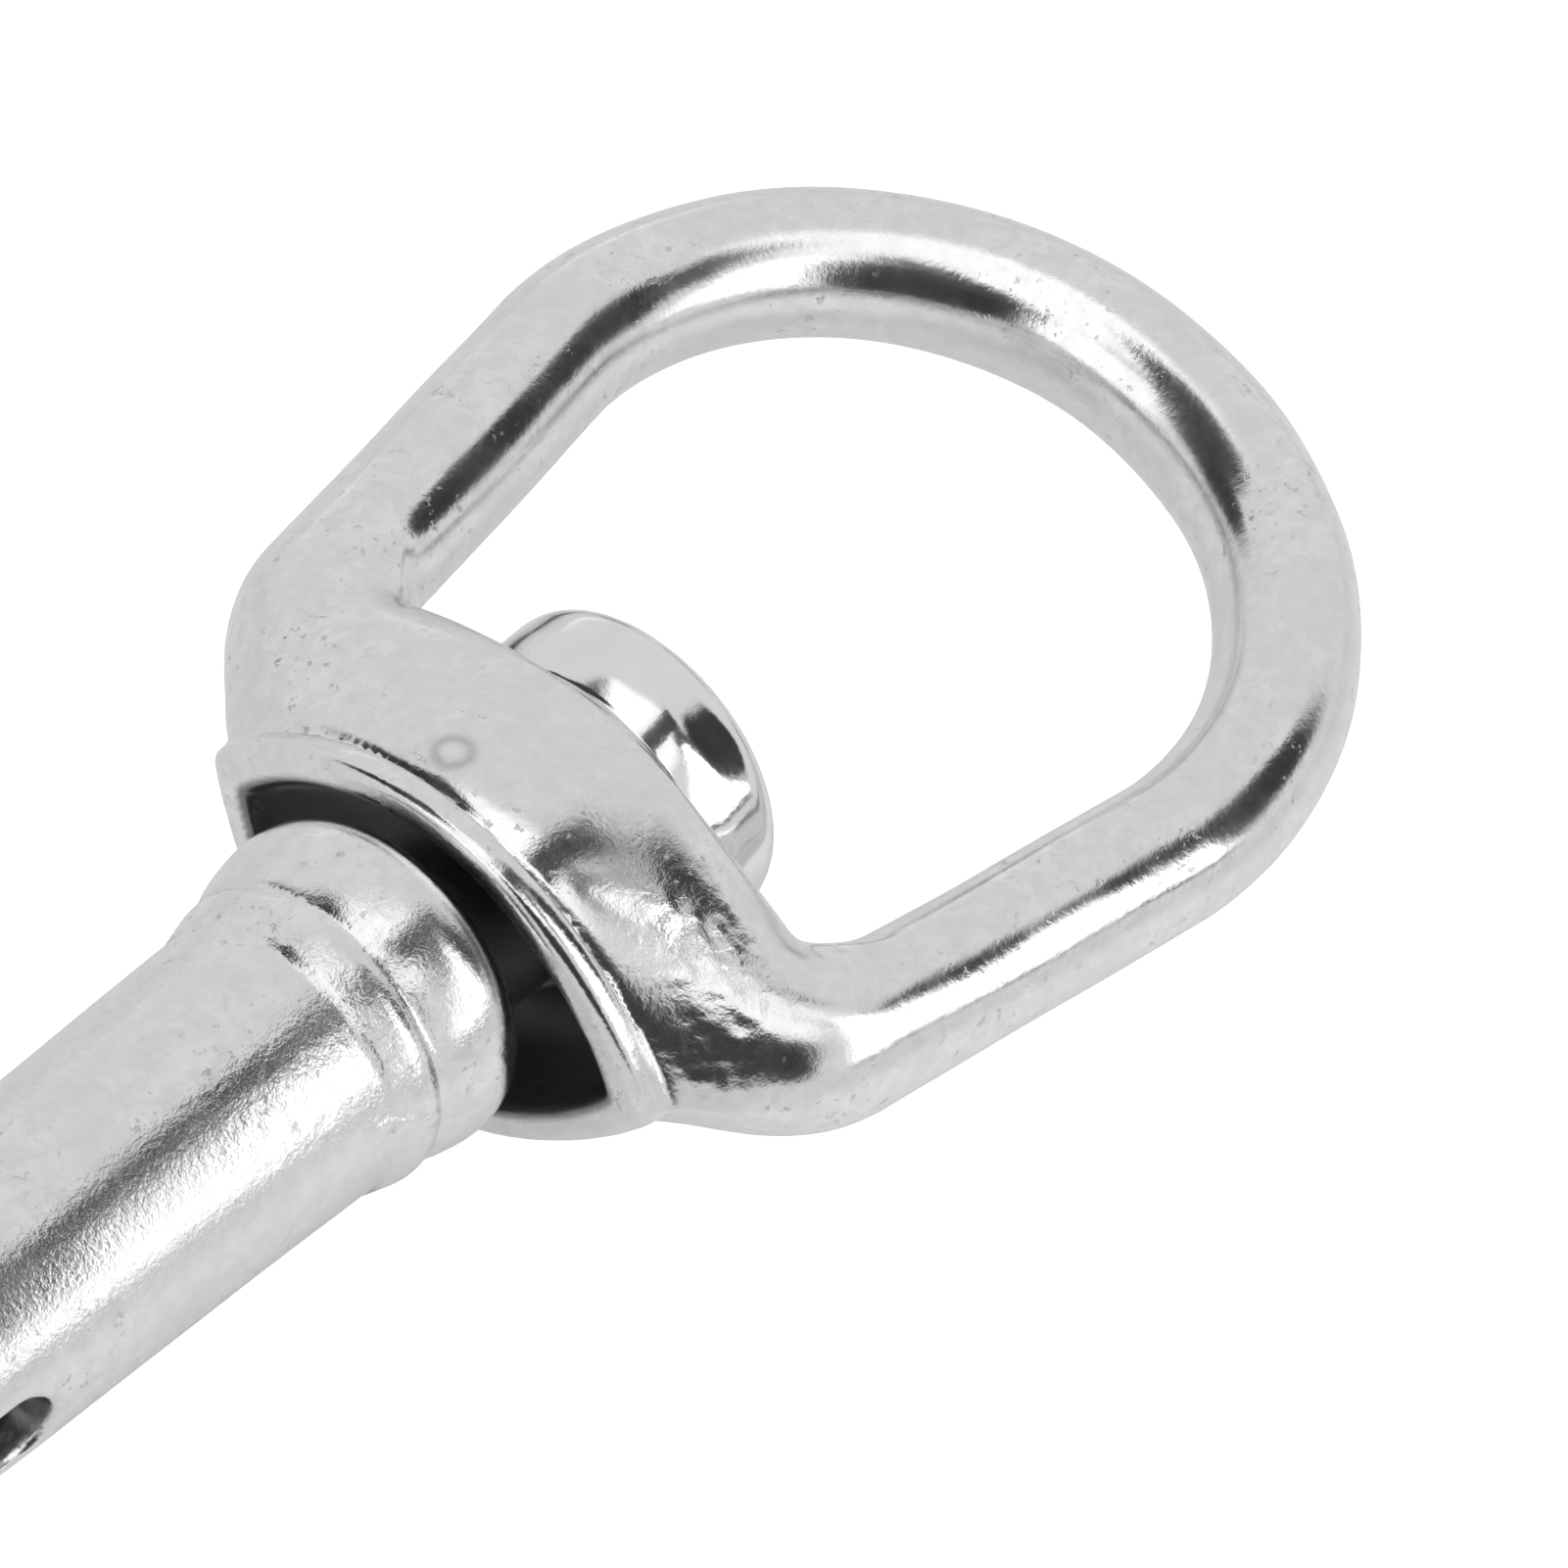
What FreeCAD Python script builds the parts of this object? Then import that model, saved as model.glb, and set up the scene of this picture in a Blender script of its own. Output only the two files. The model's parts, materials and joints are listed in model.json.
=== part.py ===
import FreeCAD, Part
import math
import os

from FreeCAD import Vector

# Swivel-eye bolt snap. All lengths are in millimetres.
# Every piece is drawn about the swivel: X is the swivel axis with x = 0 at the mouth of the
# eye's dish, +X towards the top of the eye, +Y towards the back of the hook, +Z out of the
# flat of the hook. export() then moves it so that the origin is where a strap bears on the eye.

# ---- swivel eye: ring ----
EYE_BEARING_X = 31.86  # inside of the ring's top, on the axis
WIRE_HALF_WIDTH = 2.21  # ring section, in the plane of the ring
WIRE_HALF_DEPTH = 2.35  # ring section, out of the plane of the ring
LEG_HALF_SPACING = 9.02  # leg centre line to the axis, at x = 0
LEG_FLARE_DEG = 8.56
CROWN_RADIUS = 12.2  # centre line of the ring's top
CORNER_RADIUS = 4.9  # centre line, where a leg turns into the crown
BRIDGE_X = 6.0  # centre line of the bar between the feet of the legs
FOOT_RADIUS = 3.0  # centre line, where a leg turns into the bridge

# ---- swivel eye: boat-shaped dish, as (x, half width, half depth) from mouth to top ----
DISH_OUTSIDE = [
    (1.0, 8.15, 5.65),
    (1.25, 8.5, 6.0),
    (1.75, 8.55, 6.0),
    (2.35, 8.5, 5.6),
    (3.6, 9.4, 5.65),
    (5.2, 10.0, 5.5),
    (6.9, 9.7, 5.1),
    (7.8, 9.1, 4.75),
    (8.4, 8.5, 4.3),
]
DISH_HOLLOW = [(0.5, 7.4, 5.2), (1.1, 7.05, 4.9), (2.2, 6.5, 4.6), (3.6, 5.3, 4.3), (4.6, 3.9, 3.7)]
MOUTH_POINTEDNESS = 1.75  # 1 is an ellipse, 2 is a sharp-ended lens
TOP_POINTEDNESS = 1.4
SECTION_POINTS = 28
LOFT_STEPS = 20

# ---- swivel rivet ----
PIN_RADIUS = 2.4
PIN_END_X = -5.5
HEAD_RADIUS = 5.1
HEAD_BASE_X = 8.55
HEAD_TOP_X = 12.8
RUNNING_GAP = 0.05  # radial clearance of the eye on the rivet

# ---- hook body: collar and barrel ----
COLLAR_RADIUS = 5.28
COLLAR_FRONT_X = 0.9
COLLAR_FACE_RADIUS = 3.0
NECK_END_X = 4.4
BARREL_TOP_RADIUS = 4.48
BARREL_RADIUS = 4.2
BARREL_TAPER_END_X = -22.0
MOUTH_X = -39.0
MOUTH_ROUND = 0.6

# ---- hook body: bore and thumb slot ----
BORE_RADIUS = 2.65
BORE_END_X = -12.0
SLOT_WIDTH = 2.9
SLOT_TOP_X = -18.2
SLOT_BOTTOM_X = -35.6

# ---- hook body: hook ----
TIP_X = -50.0
BOW_START_X = -54.0  # where the tip's straight turns into the bow
BOW_RADIUS = 8.5  # centre line
TIP_RADIUS = 2.75
BOW_HALF_DEPTH = 3.1
SPINE_RADIUS = 3.0
SEAT_RADIUS = 1.95
SEAT_DEPTH = 0.6

# ---- bolt, thumb knob and spring ----
BOLT_RADIUS = 2.6
BOLT_NOSE_X = -50.1
BOLT_NOSE_RADIUS = 1.6
BOLT_NOSE_LENGTH = 1.3
BOLT_TAIL_X = -28.6
SPIGOT_RADIUS = 1.5
SPIGOT_LENGTH = 2.5
KNOB_X = -33.5
STUD_RADIUS = 1.25
STUD_SEAT_Y = -2.3
STUD_PIN_RADIUS = 0.85
STUD_PIN_END_Y = 1.9
KNOB_BASE_Y = -4.7
KNOB_TOP_Y = -8.3
KNOB_RADIUS = 3.9
SPRING_COIL_RADIUS = 2.12
SPRING_WIRE_RADIUS = 0.28
SPRING_TURNS = 8
SPRING_END_GAP = 0.05

OUT_DIR = "parts"


def export(shape, node):
    """Write one node in the row frame, whose origin is the eye's bearing point."""
    moved = shape.removeSplitter()
    moved.translate(Vector(-EYE_BEARING_X, 0, 0))
    moved.exportStep(os.path.join(OUT_DIR, node + ".step"))


def revolve_about_x(edges):
    """Turn a closed outline in the XY plane about the X axis."""
    face = Part.Face(Part.Wire(edges))
    return face.revolve(Vector(0, 0, 0), Vector(1, 0, 0), 360)


def line(a, b):
    return Part.makeLine(Vector(*a, 0), Vector(*b, 0))


def curve(points):
    """A smooth curve through points of the XY plane."""
    spline = Part.BSplineCurve()
    spline.interpolate([Vector(*p, 0) for p in points])
    return spline.toShape()


def cylinder_x(radius, x_from, x_to):
    return Part.makeCylinder(radius, x_to - x_from, Vector(x_from, 0, 0), Vector(1, 0, 0))


def arc(centre, radius, start, end):
    """Arc in the XY plane from one angle to another, in radians."""
    middle = (start + end) / 2
    points = [
        Vector(centre[0] + radius * math.cos(a), centre[1] + radius * math.sin(a), 0)
        for a in (start, middle, end)
    ]
    return Part.Arc(*points).toShape()


def ring_path():
    """Closed centre line of the ring: bridge, two flared legs, two corners and the crown."""
    flare = math.radians(LEG_FLARE_DEG)
    slope = math.tan(flare)
    crown_x = EYE_BEARING_X + WIRE_HALF_WIDTH - CROWN_RADIUS

    # Corner centre: one corner radius inside the leg and inside the crown.
    offset = LEG_HALF_SPACING - CORNER_RADIUS / math.cos(flare)
    a = 1 + slope**2
    b = 2 * (offset * slope - crown_x)
    c = crown_x**2 + offset**2 - (CROWN_RADIUS - CORNER_RADIUS) ** 2
    corner_x = (-b + math.sqrt(b * b - 4 * a * c)) / (2 * a)
    corner_y = offset + corner_x * slope
    leg_angle = math.pi / 2 + flare
    crown_angle = math.atan2(corner_y, corner_x - crown_x)

    # Foot centre: one foot radius inside the leg and above the bridge.
    foot_x = BRIDGE_X + FOOT_RADIUS
    foot_y = LEG_HALF_SPACING + foot_x * slope - FOOT_RADIUS / math.cos(flare)

    edges = []
    for side in (1, -1):
        foot = arc((foot_x, side * foot_y), FOOT_RADIUS, side * leg_angle, side * math.pi)
        corner = arc(
            (corner_x, side * corner_y), CORNER_RADIUS, side * leg_angle, side * crown_angle
        )
        leg = Part.makeLine(foot.firstVertex().Point, corner.firstVertex().Point)
        edges += [foot, leg, corner]
    crown = arc((crown_x, 0), CROWN_RADIUS, -crown_angle, crown_angle)
    bridge = line((BRIDGE_X, -foot_y), (BRIDGE_X, foot_y))
    return Part.Wire(Part.__sortEdges__(edges + [crown, bridge]))


def ellipse_wire(centre, normal, half_width, half_depth):
    """Section of a bar whose centre line lies in the XY plane."""
    across = normal.cross(Vector(0, 0, 1))
    if half_width >= half_depth:
        shape = Part.Ellipse(centre + across * half_width, centre + Vector(0, 0, half_depth), centre)
    else:
        shape = Part.Ellipse(centre + Vector(0, 0, half_depth), centre + across * half_width, centre)
    return Part.Wire(shape.toShape())


def make_ring():
    path = ring_path()
    crown = Vector(EYE_BEARING_X + WIRE_HALF_WIDTH, 0, 0)
    section = ellipse_wire(crown, Vector(0, 1, 0), WIRE_HALF_WIDTH, WIRE_HALF_DEPTH)
    return path.makePipeShell([section], True, False)


def lens_wire(x, half_width, half_depth, pointedness):
    """Closed section across the swivel axis, drawn out to a point on both sides."""
    points = []
    for step in range(SECTION_POINTS):
        angle = 2 * math.pi * step / SECTION_POINTS
        y = half_width * math.cos(angle)
        z = half_depth * abs(math.sin(angle)) ** pointedness
        points.append(Vector(x, y, math.copysign(z, math.sin(angle))))
    spline = Part.BSplineCurve()
    spline.interpolate(points, PeriodicFlag=True)
    return Part.Wire(spline.toShape())


def lens_loft(stations):
    """Solid through lens sections, blunter towards the last one."""
    profile = Part.BSplineCurve()
    profile.interpolate([Vector(*station) for station in stations])
    first, last = stations[0][0], stations[-1][0]
    wires = []
    for step in range(LOFT_STEPS + 1):
        where = profile.FirstParameter
        where += (profile.LastParameter - profile.FirstParameter) * step / LOFT_STEPS
        x, half_width, half_depth = profile.value(where)
        share = (x - first) / (last - first)
        pointedness = MOUTH_POINTEDNESS + share * (TOP_POINTEDNESS - MOUTH_POINTEDNESS)
        wires.append(lens_wire(x, half_width, half_depth, pointedness))
    return Part.makeLoft(wires, True, True)


def make_swivel_eye():
    eye = lens_loft(DISH_OUTSIDE).fuse(make_ring()).removeSplitter()
    eye = eye.cut(lens_loft(DISH_HOLLOW))
    return eye.cut(cylinder_x(PIN_RADIUS + RUNNING_GAP, 0, HEAD_BASE_X))


def make_swivel_rivet():
    dome = [
        (HEAD_BASE_X, HEAD_RADIUS - 0.35),
        (HEAD_BASE_X + 1.15, HEAD_RADIUS),
        (HEAD_TOP_X - 1.55, HEAD_RADIUS - 0.05),
        (HEAD_TOP_X - 0.7, HEAD_RADIUS - 0.9),
        (HEAD_TOP_X - 0.15, HEAD_RADIUS - 2.6),
        (HEAD_TOP_X, 0),
    ]
    edges = [
        line((PIN_END_X, 0), (PIN_END_X, PIN_RADIUS)),
        line((PIN_END_X, PIN_RADIUS), (HEAD_BASE_X, PIN_RADIUS)),
        line((HEAD_BASE_X, PIN_RADIUS), dome[0]),
        curve(dome),
        line((HEAD_TOP_X, 0), (PIN_END_X, 0)),
    ]
    return revolve_about_x(edges)


def make_barrel():
    """Tapered barrel, rounded collar and the neck that reaches the dish floor."""
    flare = [(-5.9, BARREL_TOP_RADIUS), (-4.9, 4.54), (-4.1, 4.74), (-3.6, 4.84), (-3.1, 4.7)]
    collar = [
        (-3.1, 4.7),
        (-2.75, 4.88),
        (-2.0, 5.12),
        (-0.9, COLLAR_RADIUS),
        (0.1, 5.05),
        (0.7, 4.2),
        (COLLAR_FRONT_X, COLLAR_FACE_RADIUS),
    ]
    edges = [
        line((MOUTH_X, 0), (MOUTH_X, BARREL_RADIUS - MOUTH_ROUND)),
        line((MOUTH_X, BARREL_RADIUS - MOUTH_ROUND), (MOUTH_X + MOUTH_ROUND, BARREL_RADIUS)),
        line((MOUTH_X + MOUTH_ROUND, BARREL_RADIUS), (BARREL_TAPER_END_X, BARREL_RADIUS)),
        line((BARREL_TAPER_END_X, BARREL_RADIUS), flare[0]),
        curve(flare),
        curve(collar),
        line(collar[-1], (NECK_END_X, COLLAR_FACE_RADIUS)),
        line((NECK_END_X, COLLAR_FACE_RADIUS), (NECK_END_X, 0)),
        line((NECK_END_X, 0), (MOUTH_X, 0)),
    ]
    return revolve_about_x(edges)


def hook_sections():
    """Stations round the hook: centre, direction, half width and half depth."""
    spine_y = 2 * BOW_RADIUS
    stations = [
        (TIP_X, 0.0, 180, TIP_RADIUS - 0.35, TIP_RADIUS - 0.35),
        (TIP_X - 0.7, 0.0, 180, TIP_RADIUS, TIP_RADIUS),
        (BOW_START_X, 0.0, 180, TIP_RADIUS, TIP_RADIUS),
    ]
    for turn in (30, 60, 90, 120, 150, 180):
        angle = math.radians(turn)
        x = BOW_START_X - BOW_RADIUS * math.sin(angle)
        y = BOW_RADIUS * (1 - math.cos(angle))
        stations.append((x, y, 180 - turn, SPINE_RADIUS, BOW_HALF_DEPTH))
    stations += [
        (-50.0, spine_y - 0.4, -10, SPINE_RADIUS, BOW_HALF_DEPTH),
        (-45.0, spine_y - 2.8, -36, SPINE_RADIUS + 0.1, BOW_HALF_DEPTH + 0.1),
        (-40.5, spine_y - 6.8, -47, SPINE_RADIUS + 0.3, BOW_HALF_DEPTH + 0.3),
        (-36.0, 5.7, -43, SPINE_RADIUS + 0.4, BOW_HALF_DEPTH + 0.5),
        (-31.0, 2.2, -26, SPINE_RADIUS, BOW_HALF_DEPTH + 0.3),
        (-26.0, 0.4, -12, SPINE_RADIUS - 0.3, BOW_HALF_DEPTH),
    ]
    return stations


def make_hook():
    wires = []
    for x, y, heading, half_width, half_depth in hook_sections():
        angle = math.radians(heading)
        normal = Vector(math.cos(angle), math.sin(angle), 0)
        wires.append(ellipse_wire(Vector(x, y, 0), normal, half_width, half_depth))
    return Part.makeLoft(wires, True, False)


def make_slot():
    """Round-ended slot on the -Y side, from outside the barrel to its bore."""
    end_radius = SLOT_WIDTH / 2
    ends = (SLOT_BOTTOM_X + end_radius, SLOT_TOP_X - end_radius)
    outside = -BARREL_RADIUS - 2
    slot = Part.makeBox(
        ends[1] - ends[0], -outside, SLOT_WIDTH, Vector(ends[0], outside, -end_radius)
    )
    for x in ends:
        rounded = Part.makeCylinder(end_radius, -outside, Vector(x, outside, 0), Vector(0, 1, 0))
        slot = slot.fuse(rounded)
    return slot


def make_hook_body():
    body = make_barrel().fuse(make_hook()).removeSplitter()
    body = body.cut(cylinder_x(BORE_RADIUS, TIP_X, BORE_END_X))
    body = body.cut(cylinder_x(PIN_RADIUS, PIN_END_X, NECK_END_X))
    body = body.cut(make_slot())
    return body.cut(cylinder_x(SEAT_RADIUS, TIP_X - SEAT_DEPTH, TIP_X + 1))


def make_bolt():
    edges = [
        line((BOLT_NOSE_X, 0), (BOLT_NOSE_X, BOLT_NOSE_RADIUS)),
        line((BOLT_NOSE_X, BOLT_NOSE_RADIUS), (BOLT_NOSE_X + BOLT_NOSE_LENGTH, BOLT_RADIUS)),
        line((BOLT_NOSE_X + BOLT_NOSE_LENGTH, BOLT_RADIUS), (BOLT_TAIL_X, BOLT_RADIUS)),
        line((BOLT_TAIL_X, BOLT_RADIUS), (BOLT_TAIL_X, SPIGOT_RADIUS)),
        line((BOLT_TAIL_X, SPIGOT_RADIUS), (BOLT_TAIL_X + SPIGOT_LENGTH, SPIGOT_RADIUS)),
        line((BOLT_TAIL_X + SPIGOT_LENGTH, SPIGOT_RADIUS), (BOLT_TAIL_X + SPIGOT_LENGTH, 0)),
        line((BOLT_TAIL_X + SPIGOT_LENGTH, 0), (BOLT_NOSE_X, 0)),
    ]
    bolt = revolve_about_x(edges)
    seat = Part.makeCylinder(
        STUD_RADIUS, BOLT_RADIUS, Vector(KNOB_X, STUD_SEAT_Y, 0), Vector(0, -1, 0)
    )
    pin_hole = Part.makeCylinder(
        STUD_PIN_RADIUS,
        STUD_PIN_END_Y - STUD_SEAT_Y,
        Vector(KNOB_X, STUD_PIN_END_Y, 0),
        Vector(0, -1, 0),
    )
    return bolt.cut(seat).cut(pin_hole)


def make_thumb_knob():
    """Turned stud with a dished button head, its axis along -Y."""

    def at(y, radius):
        return (KNOB_X + radius, y)

    head = [
        at(KNOB_BASE_Y, STUD_RADIUS + 0.3),
        at(KNOB_BASE_Y - 1.2, KNOB_RADIUS - 0.9),
        at(KNOB_TOP_Y + 1.4, KNOB_RADIUS),
        at(KNOB_TOP_Y + 0.5, KNOB_RADIUS - 0.25),
        at(KNOB_TOP_Y + 0.1, KNOB_RADIUS - 1.3),
        at(KNOB_TOP_Y, 0),
    ]
    edges = [
        line(at(STUD_PIN_END_Y, 0), at(STUD_PIN_END_Y, STUD_PIN_RADIUS)),
        line(at(STUD_PIN_END_Y, STUD_PIN_RADIUS), at(STUD_SEAT_Y, STUD_PIN_RADIUS)),
        line(at(STUD_SEAT_Y, STUD_PIN_RADIUS), at(STUD_SEAT_Y, STUD_RADIUS)),
        line(at(STUD_SEAT_Y, STUD_RADIUS), at(KNOB_BASE_Y, STUD_RADIUS)),
        line(at(KNOB_BASE_Y, STUD_RADIUS), head[0]),
        curve(head),
        line(head[-1], at(STUD_PIN_END_Y, 0)),
    ]
    face = Part.Face(Part.Wire(edges))
    return face.revolve(Vector(KNOB_X, 0, 0), Vector(0, 1, 0), 360)


def make_bolt_spring():
    """Compression spring whose first and last turns lie closed."""
    start = BOLT_TAIL_X + SPRING_WIRE_RADIUS + SPRING_END_GAP
    end = BORE_END_X - SPRING_WIRE_RADIUS - SPRING_END_GAP
    closed_pitch = 2.3 * SPRING_WIRE_RADIUS
    open_pitch = (end - start - 2 * closed_pitch) / (SPRING_TURNS - 2)
    steps_per_turn = 10
    points = []
    for step in range(SPRING_TURNS * steps_per_turn + 1):
        turns = step / steps_per_turn
        opened = min(max(turns - 1, 0), SPRING_TURNS - 2)
        x = start + closed_pitch * (turns - opened) + open_pitch * opened
        angle = 2 * math.pi * turns
        y = SPRING_COIL_RADIUS * math.cos(angle)
        z = SPRING_COIL_RADIUS * math.sin(angle)
        points.append(Vector(x, y, z))
    spline = Part.BSplineCurve()
    spline.interpolate(points)
    path = Part.Wire(spline.toShape())
    first = spline.tangent(spline.FirstParameter)[0]
    section = Part.Wire(Part.makeCircle(SPRING_WIRE_RADIUS, points[0], first))
    return path.makePipeShell([section], True, True)


def main():
    os.makedirs(OUT_DIR, exist_ok=True)
    export(make_swivel_eye(), "swivel_eye")
    export(make_swivel_rivet(), "swivel_rivet")
    export(make_hook_body(), "hook_body")
    export(make_bolt(), "bolt")
    export(make_thumb_knob(), "thumb_knob")
    export(make_bolt_spring(), "bolt_spring")


main()
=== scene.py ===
import json
import math

import bpy
import numpy as np
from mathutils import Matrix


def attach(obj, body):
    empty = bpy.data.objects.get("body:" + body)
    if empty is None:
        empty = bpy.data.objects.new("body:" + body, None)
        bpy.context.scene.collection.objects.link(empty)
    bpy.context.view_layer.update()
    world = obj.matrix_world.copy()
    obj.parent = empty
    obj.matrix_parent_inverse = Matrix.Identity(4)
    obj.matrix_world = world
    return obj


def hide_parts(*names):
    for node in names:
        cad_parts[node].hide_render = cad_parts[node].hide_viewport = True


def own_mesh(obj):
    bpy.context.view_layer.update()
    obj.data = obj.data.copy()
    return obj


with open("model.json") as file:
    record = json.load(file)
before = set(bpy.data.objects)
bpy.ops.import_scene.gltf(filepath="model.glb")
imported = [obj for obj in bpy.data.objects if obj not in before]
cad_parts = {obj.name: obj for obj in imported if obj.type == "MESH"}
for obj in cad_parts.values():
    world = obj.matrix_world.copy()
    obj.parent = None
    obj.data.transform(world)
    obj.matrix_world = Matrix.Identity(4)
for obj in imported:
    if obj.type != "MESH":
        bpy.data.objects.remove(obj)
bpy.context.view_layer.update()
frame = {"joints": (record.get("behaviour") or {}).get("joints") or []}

import openvdb
from mathutils import Matrix, Vector

# Swivel-eye bolt snap. Shapes are worked out in millimetres about the swivel, then moved along x to
# the row frame, whose origin is the eye's bearing point.
MM = 0.001
SWIVEL_X = frame["joints"][0]["pos_m"][0]


# ------------------------------------------------------------------ field helpers
def smooth_union(a, b, blend):
    h = np.maximum(blend - np.abs(a - b), 0) / blend
    return np.minimum(a, b) - h * h * blend / 4


def smooth_step(value, low, high):
    """0 at low, 1 at high, eased in between. low may be the larger of the two."""
    t = np.clip((value - low) / (high - low), 0, 1)
    return t * t * (3 - 2 * t)


def smooth_cut(a, b, blend):
    """What is left of a with b taken away, its edge rounded."""
    return -smooth_union(-a, b, blend)


def segment_distance(x, y, a, b):
    dx, dy = b[0] - a[0], b[1] - a[1]
    t = np.clip(((x - a[0]) * dx + (y - a[1]) * dy) / (dx * dx + dy * dy), 0, 1)
    return np.hypot(x - a[0] - t * dx, y - a[1] - t * dy)


def arc_distance(x, y, centre, radius, start, end):
    """Distance to an arc, its angles in radians and start below end."""
    angle = np.arctan2(y - centre[1], x - centre[0])
    inside = (angle >= start) & (angle <= end)
    ends = [
        np.hypot(x - centre[0] - radius * math.cos(a), y - centre[1] - radius * math.sin(a))
        for a in (start, end)
    ]
    off_arc = np.minimum(*ends)
    return np.where(inside, np.abs(np.hypot(x - centre[0], y - centre[1]) - radius), off_arc)


def smooth_curve(stations, samples):
    """Points along a Catmull-Rom curve through rows of numbers."""
    rows = np.array(stations, float)
    padded = np.vstack([2 * rows[0] - rows[1], rows, 2 * rows[-1] - rows[-2]])
    out = []
    for k in range(len(rows) - 1):
        p0, p1, p2, p3 = padded[k : k + 4]
        for t in np.arange(samples) / samples:
            a = 2 * p1 + (p2 - p0) * t
            b = (2 * p0 - 5 * p1 + 4 * p2 - p3) * t**2
            c = (3 * p1 - p0 - 3 * p2 + p3) * t**3
            out.append((a + b + c) / 2)
    return np.array(out + [rows[-1]])


class Ripple:
    """A smooth random field: a sum of waves in random directions."""

    def __init__(self, seed, wavelength, waves=14):
        random = np.random.default_rng(seed)
        direction = random.normal(size=(waves, 3))
        direction /= np.linalg.norm(direction, axis=1, keepdims=True)
        length = wavelength * random.uniform(0.75, 1.35, size=(waves, 1))
        self.k = 2 * math.pi * direction / length
        self.phase = random.uniform(0, 2 * math.pi, waves)

    def __call__(self, x, y, z):
        total = 0
        for (kx, ky, kz), phase in zip(self.k, self.phase):
            total = total + np.sin(kx * x + ky * y + kz * z + phase)
        return total / math.sqrt(len(self.phase))


def near(x, y, z, centre, radius):
    """1 at a point, falling smoothly to 0 at a radius round it."""
    d2 = (x - centre[0]) ** 2 + (y - centre[1]) ** 2 + (z - centre[2]) ** 2
    return np.clip(1 - d2 / radius**2, 0, 1) ** 2


def mesh_from_field(name, field, low, high, step):
    """Mesh of the surface where a field is 0, its points pulled exactly onto it."""
    axes = [np.arange(a, b + step, step) for a, b in zip(low, high)]
    x, y, z = axes[0][:, None, None], axes[1][None, :, None], axes[2][None, None, :]
    values = np.broadcast_to(field(x, y, z), [len(a) for a in axes]).astype(np.float32)
    grid = openvdb.FloatGrid(background=1.0)
    grid.copyFromArray(np.ascontiguousarray(values))
    points, quads = grid.convertToQuads(0.0)
    p = np.array(points, float) * step + np.array(low)
    probe = step * 0.25
    for _ in range(3):
        value = field(*p.T)
        slope = np.stack(
            [
                field(*(p + offset).T) - field(*(p - offset).T)
                for offset in np.eye(3) * probe
            ],
            axis=1,
        ) / (2 * probe)
        length2 = np.maximum((slope**2).sum(axis=1), 0.1)
        move = slope * (value / length2)[:, None]
        size = np.linalg.norm(move, axis=1, keepdims=True)
        p -= move * np.minimum(1, step * 0.6 / np.maximum(size, 1e-9))
    return mesh_object(name, p, np.array(quads))


def mesh_object(name, points, faces):
    """Smooth-shaded object with the given points, in millimetres about the swivel."""
    verts = np.array(points, float) * MM + np.array([SWIVEL_X, 0, 0])
    mesh = bpy.data.meshes.new(name)
    mesh.from_pydata(verts.tolist(), [], [list(map(int, f)) for f in faces])
    mesh.validate()
    mesh.update()
    if signed_volume(mesh) < 0:
        mesh.flip_normals()
    mesh.polygons.foreach_set("use_smooth", [True] * len(mesh.polygons))
    obj = bpy.data.objects.new(name, mesh)
    bpy.context.scene.collection.objects.link(obj)
    return obj


def mark_painted_shade_and_tarnish(obj, share):
    """Stores how far each point is darkened, from 0 to 1: painted shade in a hollow and under the
    dish, and tarnish in the gate mark's ring.
    """
    co = np.empty(len(obj.data.vertices) * 3)
    obj.data.vertices.foreach_get("co", co)
    x, y, z = ((co.reshape(-1, 3) - [SWIVEL_X, 0, 0]) / MM).T
    layer = obj.data.attributes.new("painted_shade_and_tarnish", "FLOAT", "POINT")
    layer.data.foreach_set("value", share(x, y, z).astype(np.float32))


def signed_volume(mesh):
    """Signed volume of a closed mesh."""
    mesh.calc_loop_triangles()
    corners = np.empty(len(mesh.loop_triangles) * 3, int)
    mesh.loop_triangles.foreach_get("vertices", corners)
    co = np.empty(len(mesh.vertices) * 3)
    mesh.vertices.foreach_get("co", co)
    a, b, c = co.reshape(-1, 3)[corners.reshape(-1, 3)].transpose(1, 0, 2)
    return float((a * np.cross(b, c)).sum() / 6)


def lathe(name, outline, axis_point, axis, side, segments=144, wobble=None):
    """Turned piece. outline holds (distance along the axis, radius), both ends on the axis."""
    axis, side = Vector(axis), Vector(side)
    third = axis.cross(side)
    points, faces = [], []
    for along, radius in outline[1:-1]:
        for k in range(segments):
            angle = 2 * math.pi * k / segments
            r = radius * (1 + (wobble(angle, along) if wobble else 0))
            p = Vector(axis_point) + axis * along
            points.append(p + (side * math.cos(angle) + third * math.sin(angle)) * r)
    rings = len(outline) - 2
    for ring in range(rings - 1):
        for k in range(segments):
            a, b = ring * segments + k, ring * segments + (k + 1) % segments
            faces.append((a, b, b + segments, a + segments))
    for ring, (along, _) in ((0, outline[0]), (rings - 1, outline[-1])):
        points.append(Vector(axis_point) + axis * along)
        centre, first = len(points) - 1, ring * segments
        for k in range(segments):
            pair = (first + k, first + (k + 1) % segments)
            faces.append((*(pair if ring else pair[::-1]), centre))
    return mesh_object(name, points, faces)


def rounded_outline(corners, steps=7):
    """Outline of a turned piece with each corner (along, radius, rounding) rounded off."""
    out = [corners[0][:2]]
    for before, here, after in zip(corners, corners[1:], corners[2:]):
        p, q, r = (np.array(c[:2], float) for c in (before, here, after))
        reach = here[2]
        if reach == 0:
            out.append(tuple(q))
            continue
        a = q + (p - q) / np.linalg.norm(p - q) * reach
        b = q + (r - q) / np.linalg.norm(r - q) * reach
        for t in np.linspace(0, 1, steps):
            out.append(tuple((1 - t) ** 2 * a + 2 * t * (1 - t) * q + t * t * b))
    return out + [corners[-1][:2]]


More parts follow.
